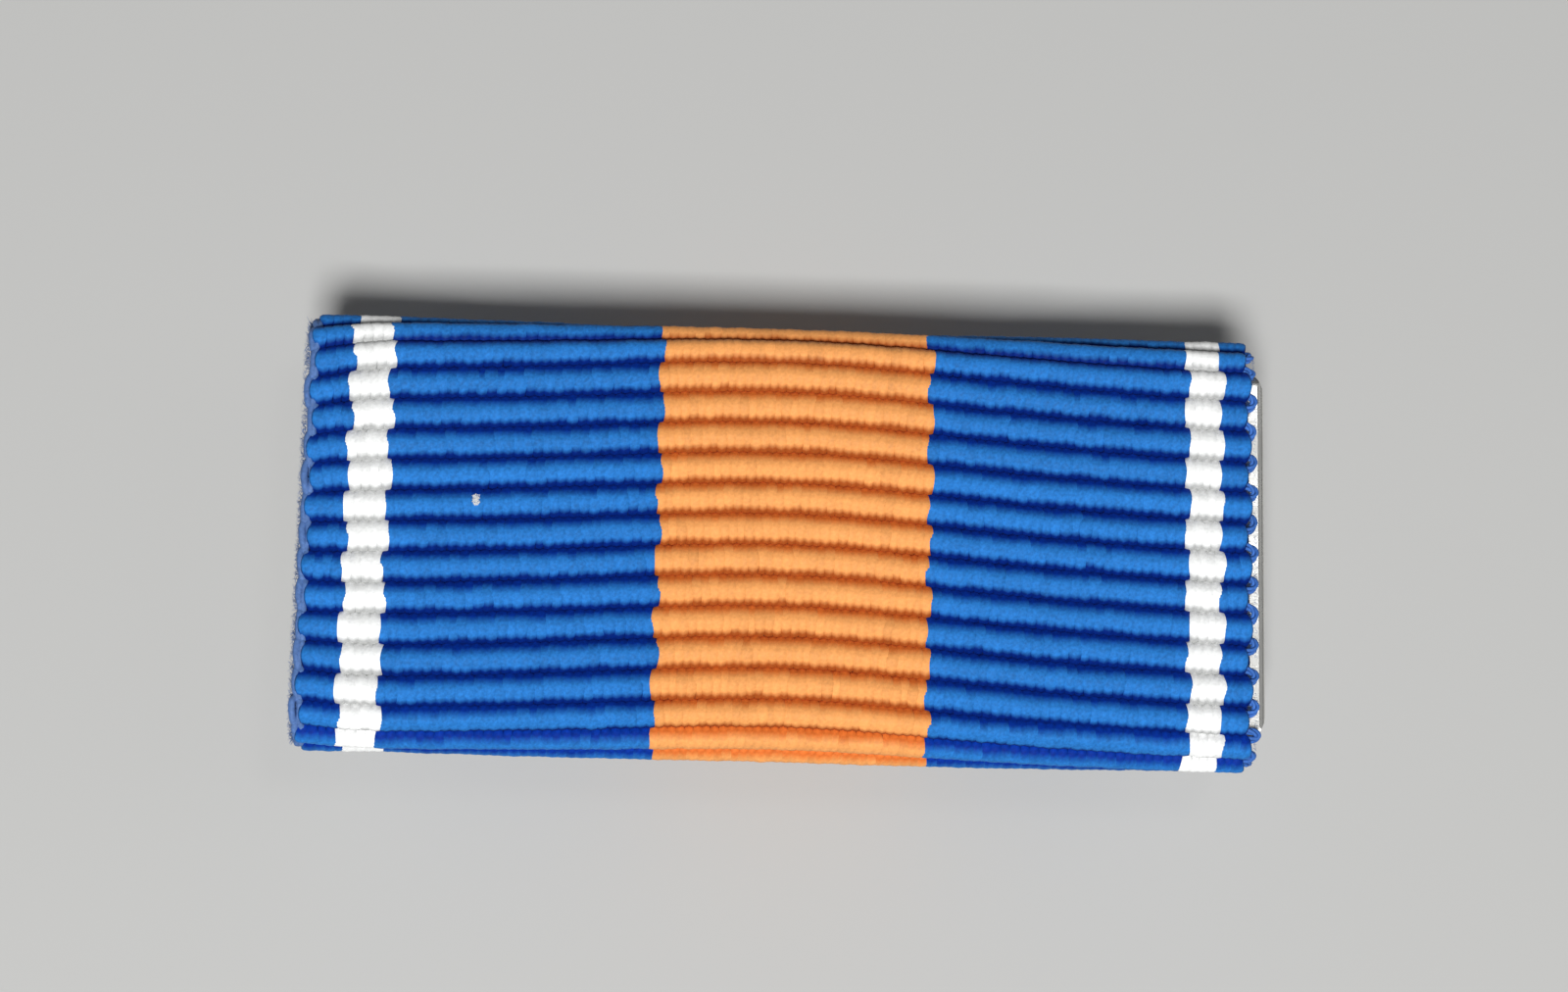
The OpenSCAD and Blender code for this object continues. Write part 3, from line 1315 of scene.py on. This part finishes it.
@dataclass
class Studio:
    """The floor, the soft lights and the camera."""

    target: Vector
    floor_size: float = 900 * MM
    lamps: tuple[Lamp, ...] = (
        Lamp("main_light", azimuth=-8, elevation=65, width=80 * MM, height=70 * MM, power=1.03),
        Lamp("end_light", azimuth=127, elevation=73.3, width=60 * MM, height=45 * MM, power=0.036),
        Lamp("side_light", azimuth=103, elevation=33, width=160 * MM, height=200 * MM, power=0.036),
    )
    world: float = 0.06
    distance: float = 90 * MM
    azimuth: float = -13.59
    elevation: float = 79.39
    roll: float = 15.06
    aside: float = -0.027 * MM
    above: float = 1.341 * MM
    nearest: float = 1 * MM
    pixels_per_mm: float = 35.9
    image_width: int = 1600
    sensor: float = 36.0

    def build(self) -> None:
        """Makes the floor, the lights and the camera."""
        self.floor()
        for lamp in self.lamps:
            self.light(lamp)
        self.surroundings()
        self.camera()

    def floor(self) -> None:
        """Makes the floor."""
        mesh = bpy.data.meshes.new("floor")
        half = self.floor_size / 2
        corners = [(-half, -half, 0), (half, -half, 0), (half, half, 0), (-half, half, 0)]
        mesh.from_pydata(corners, [], [(0, 1, 2, 3)])
        floor = bpy.data.objects.new("floor", mesh)
        floor.data.materials.append(FloorFinish().material())
        bpy.context.scene.collection.objects.link(floor)

    def light(self, lamp: Lamp) -> None:
        """Makes one light.

        Args:
            lamp: Where it stands and how strong it is.
        """
        data = bpy.data.lights.new(lamp.name, "AREA")
        data.shape = "RECTANGLE"
        data.size, data.size_y = lamp.width, lamp.height
        data.energy = lamp.power
        made = bpy.data.objects.new(lamp.name, data)
        back = view_back(lamp.azimuth, lamp.elevation)
        made.location = self.target + lamp.distance * back
        made.rotation_euler = back.to_track_quat("Z", "Y").to_euler()
        bpy.context.scene.collection.objects.link(made)

    def surroundings(self) -> None:
        """Makes the even light from all round."""
        world = bpy.data.worlds.new("studio")
        world.use_nodes = True
        background = world.node_tree.nodes["Background"]
        background.inputs[0].default_value = (1.0, 1.0, 1.0, 1.0)
        background.inputs[1].default_value = self.world
        bpy.context.scene.world = world
        bpy.context.scene.view_settings.view_transform = "Standard"

    def camera(self) -> None:
        """Makes the camera at the photo's viewing angle."""
        back = view_back(self.azimuth, self.elevation)
        level = Vector((0, 0, 1)).cross(back).normalized()
        upward = back.cross(level)
        turn = math.radians(self.roll)
        right = math.cos(turn) * level + math.sin(turn) * upward
        up = back.cross(right)
        data = bpy.data.cameras.new("camera")
        data.sensor_width = self.sensor
        data.lens = self.pixels_per_mm * self.distance / MM * self.sensor / self.image_width
        data.clip_start = self.nearest
        made = bpy.data.objects.new("camera", data)
        place = self.target + self.distance * back + self.aside * right + self.above * up
        made.matrix_world = Matrix.Translation(place) @ Matrix((right, up, back)).transposed().to_4x4()
        bpy.context.scene.collection.objects.link(made)
        bpy.context.scene.camera = made


def view_back(azimuth: float, elevation: float) -> Vector:
    """The direction from the bar to an eye.

    Args:
        azimuth: The eye's place round the bar in degrees, where 0 looks along +Y.
        elevation: Its height above the floor in degrees.

    Returns:
        The direction, with a length of one.
    """
    a, e = math.radians(azimuth), math.radians(elevation)
    return Vector((math.sin(a) * math.cos(e), -math.cos(a) * math.cos(e), math.sin(e)))


def report(piece: bpy.types.Object) -> None:
    """Logs a piece's name and number of faces."""
    LOG.info("%s: %d faces", piece.name, len(piece.data.polygons))


def main() -> None:
    """Builds the ribbon, dresses the metal and sets up the studio."""
    logging.basicConfig(level=logging.INFO, format="%(name)s %(message)s")
    for piece in Ribbon().build():
        report(piece)
    for part in (MetalPart("base_bar", Plate.BAR), MetalPart("pin_back", Plate.PIN)):
        report(part.dress())
    low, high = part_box("base_bar")
    Studio(target=Vector((0, 0, (low.z + high.z) / 2 + AIM_ABOVE_BAR))).build()


if __name__ == "__main__":
    main()
